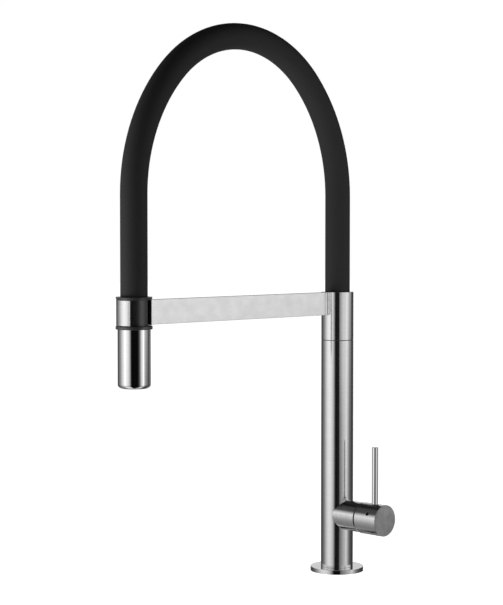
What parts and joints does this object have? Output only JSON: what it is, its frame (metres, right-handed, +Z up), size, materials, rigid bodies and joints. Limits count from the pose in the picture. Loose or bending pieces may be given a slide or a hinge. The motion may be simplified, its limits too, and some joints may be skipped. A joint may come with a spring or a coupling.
{
  "type": "pull-down kitchen faucet",
  "caption": "Slim round single-lever kitchen faucet with an arched black hose, a pull-down spray head and a swivelling arm with an open dock.",
  "frame": {"origin": "column axis on the deck plane, at the underside of the base", "axes": "+Z up along the column, -Y along the arm towards the spray head, +X along the valve towards the lever"},
  "size_m": [0.0845, 0.2887, 0.4998],
  "materials": {
    "stainless": "brushed satin",
    "black_silicone": "matt",
    "black_plastic": "satin",
    "pale_plastic": "matt",
    "grey_plastic": "matt",
    "seal_rubber": "matt",
    "brass": "machined",
    "ceramic": "ground",
    "spring_steel": "plain"
  },
  "bodies": {
    "column": {"base_flange": "stainless", "base_gasket": "seal_rubber", "base_plug": "brass", "column_tube": "stainless", "valve_boss": "stainless", "valve_block": "brass", "cold_feed_pipe": "brass", "hot_feed_pipe": "brass", "riser_pipe": "brass", "cartridge_housing": "grey_plastic", "cartridge_base": "grey_plastic", "port_gasket": "seal_rubber", "fixed_disc": "ceramic", "cartridge_nut": "brass", "swivel_spigot": "brass", "spigot_seal_low": "seal_rubber", "spigot_seal_high": "seal_rubber", "retaining_ring": "spring_steel", "swivel_washer": "black_plastic"},
    "arm": {"swivel_collar": "stainless", "collar_bush": "pale_plastic", "hose_union": "brass", "dock_arm": "stainless", "dock_fork": "stainless"},
    "hose": {"hose_sleeve": "black_silicone", "inner_hose": "pale_plastic", "hose_tail": "brass", "tail_seal": "seal_rubber", "tail_clip": "spring_steel", "tail_ferrule": "spring_steel", "spray_tail": "brass", "spray_ferrule": "spring_steel"},
    "spray": {"spray_hub": "black_plastic", "hose_nut": "brass", "hose_washer": "seal_rubber", "spray_core": "pale_plastic", "check_valve": "grey_plastic", "spray_shell": "stainless", "spray_face": "grey_plastic", "spray_nozzles": "black_silicone", "aerator": "grey_plastic"},
    "rotor": {"cartridge_rotor": "grey_plastic", "pivot_pin": "spring_steel"},
    "handle": {"cartridge_stem": "spring_steel", "handle_cap": "stainless", "lever_rod": "stainless", "handle_screw": "spring_steel"},
    "disc": {"disc_carrier": "grey_plastic", "moving_disc": "ceramic"}
  },
  "joints": [
    {"name": "arm_swivel", "type": "hinge", "parent": "column", "child": "arm", "pos_m": [0, 0, 0.23], "axis": [0, 0, 1], "continuous": true},
    {"name": "hose_swing", "type": "hinge", "parent": "arm", "child": "hose", "pos_m": [0, 0, 0.25], "axis": [0, 0, 1], "range_deg": [0, 90]},
    {"name": "spray_swivel", "type": "hinge", "parent": "hose", "child": "spray", "pos_m": [0, -0.2485, 0.24], "axis": [0, 0, 1], "continuous": true},
    {"name": "mix_turn", "type": "hinge", "parent": "column", "child": "rotor", "pos_m": [0.021, 0, 0.0533], "axis": [1, 0, 0], "range_deg": [-45, 45]},
    {"name": "flow_tilt", "type": "hinge", "parent": "rotor", "child": "handle", "pos_m": [0.021, 0, 0.0533], "axis": [0, 1, 0], "range_deg": [0, 22]},
    {"name": "disc_slide", "type": "slide", "parent": "rotor", "child": "disc", "axis": [0, 0, 1], "range_m": [0, 0.0031]}
  ],
  "couplings": [
    {"joint": "disc_slide", "follows": "flow_tilt", "m_per_rad": 0.007805}
  ]
}
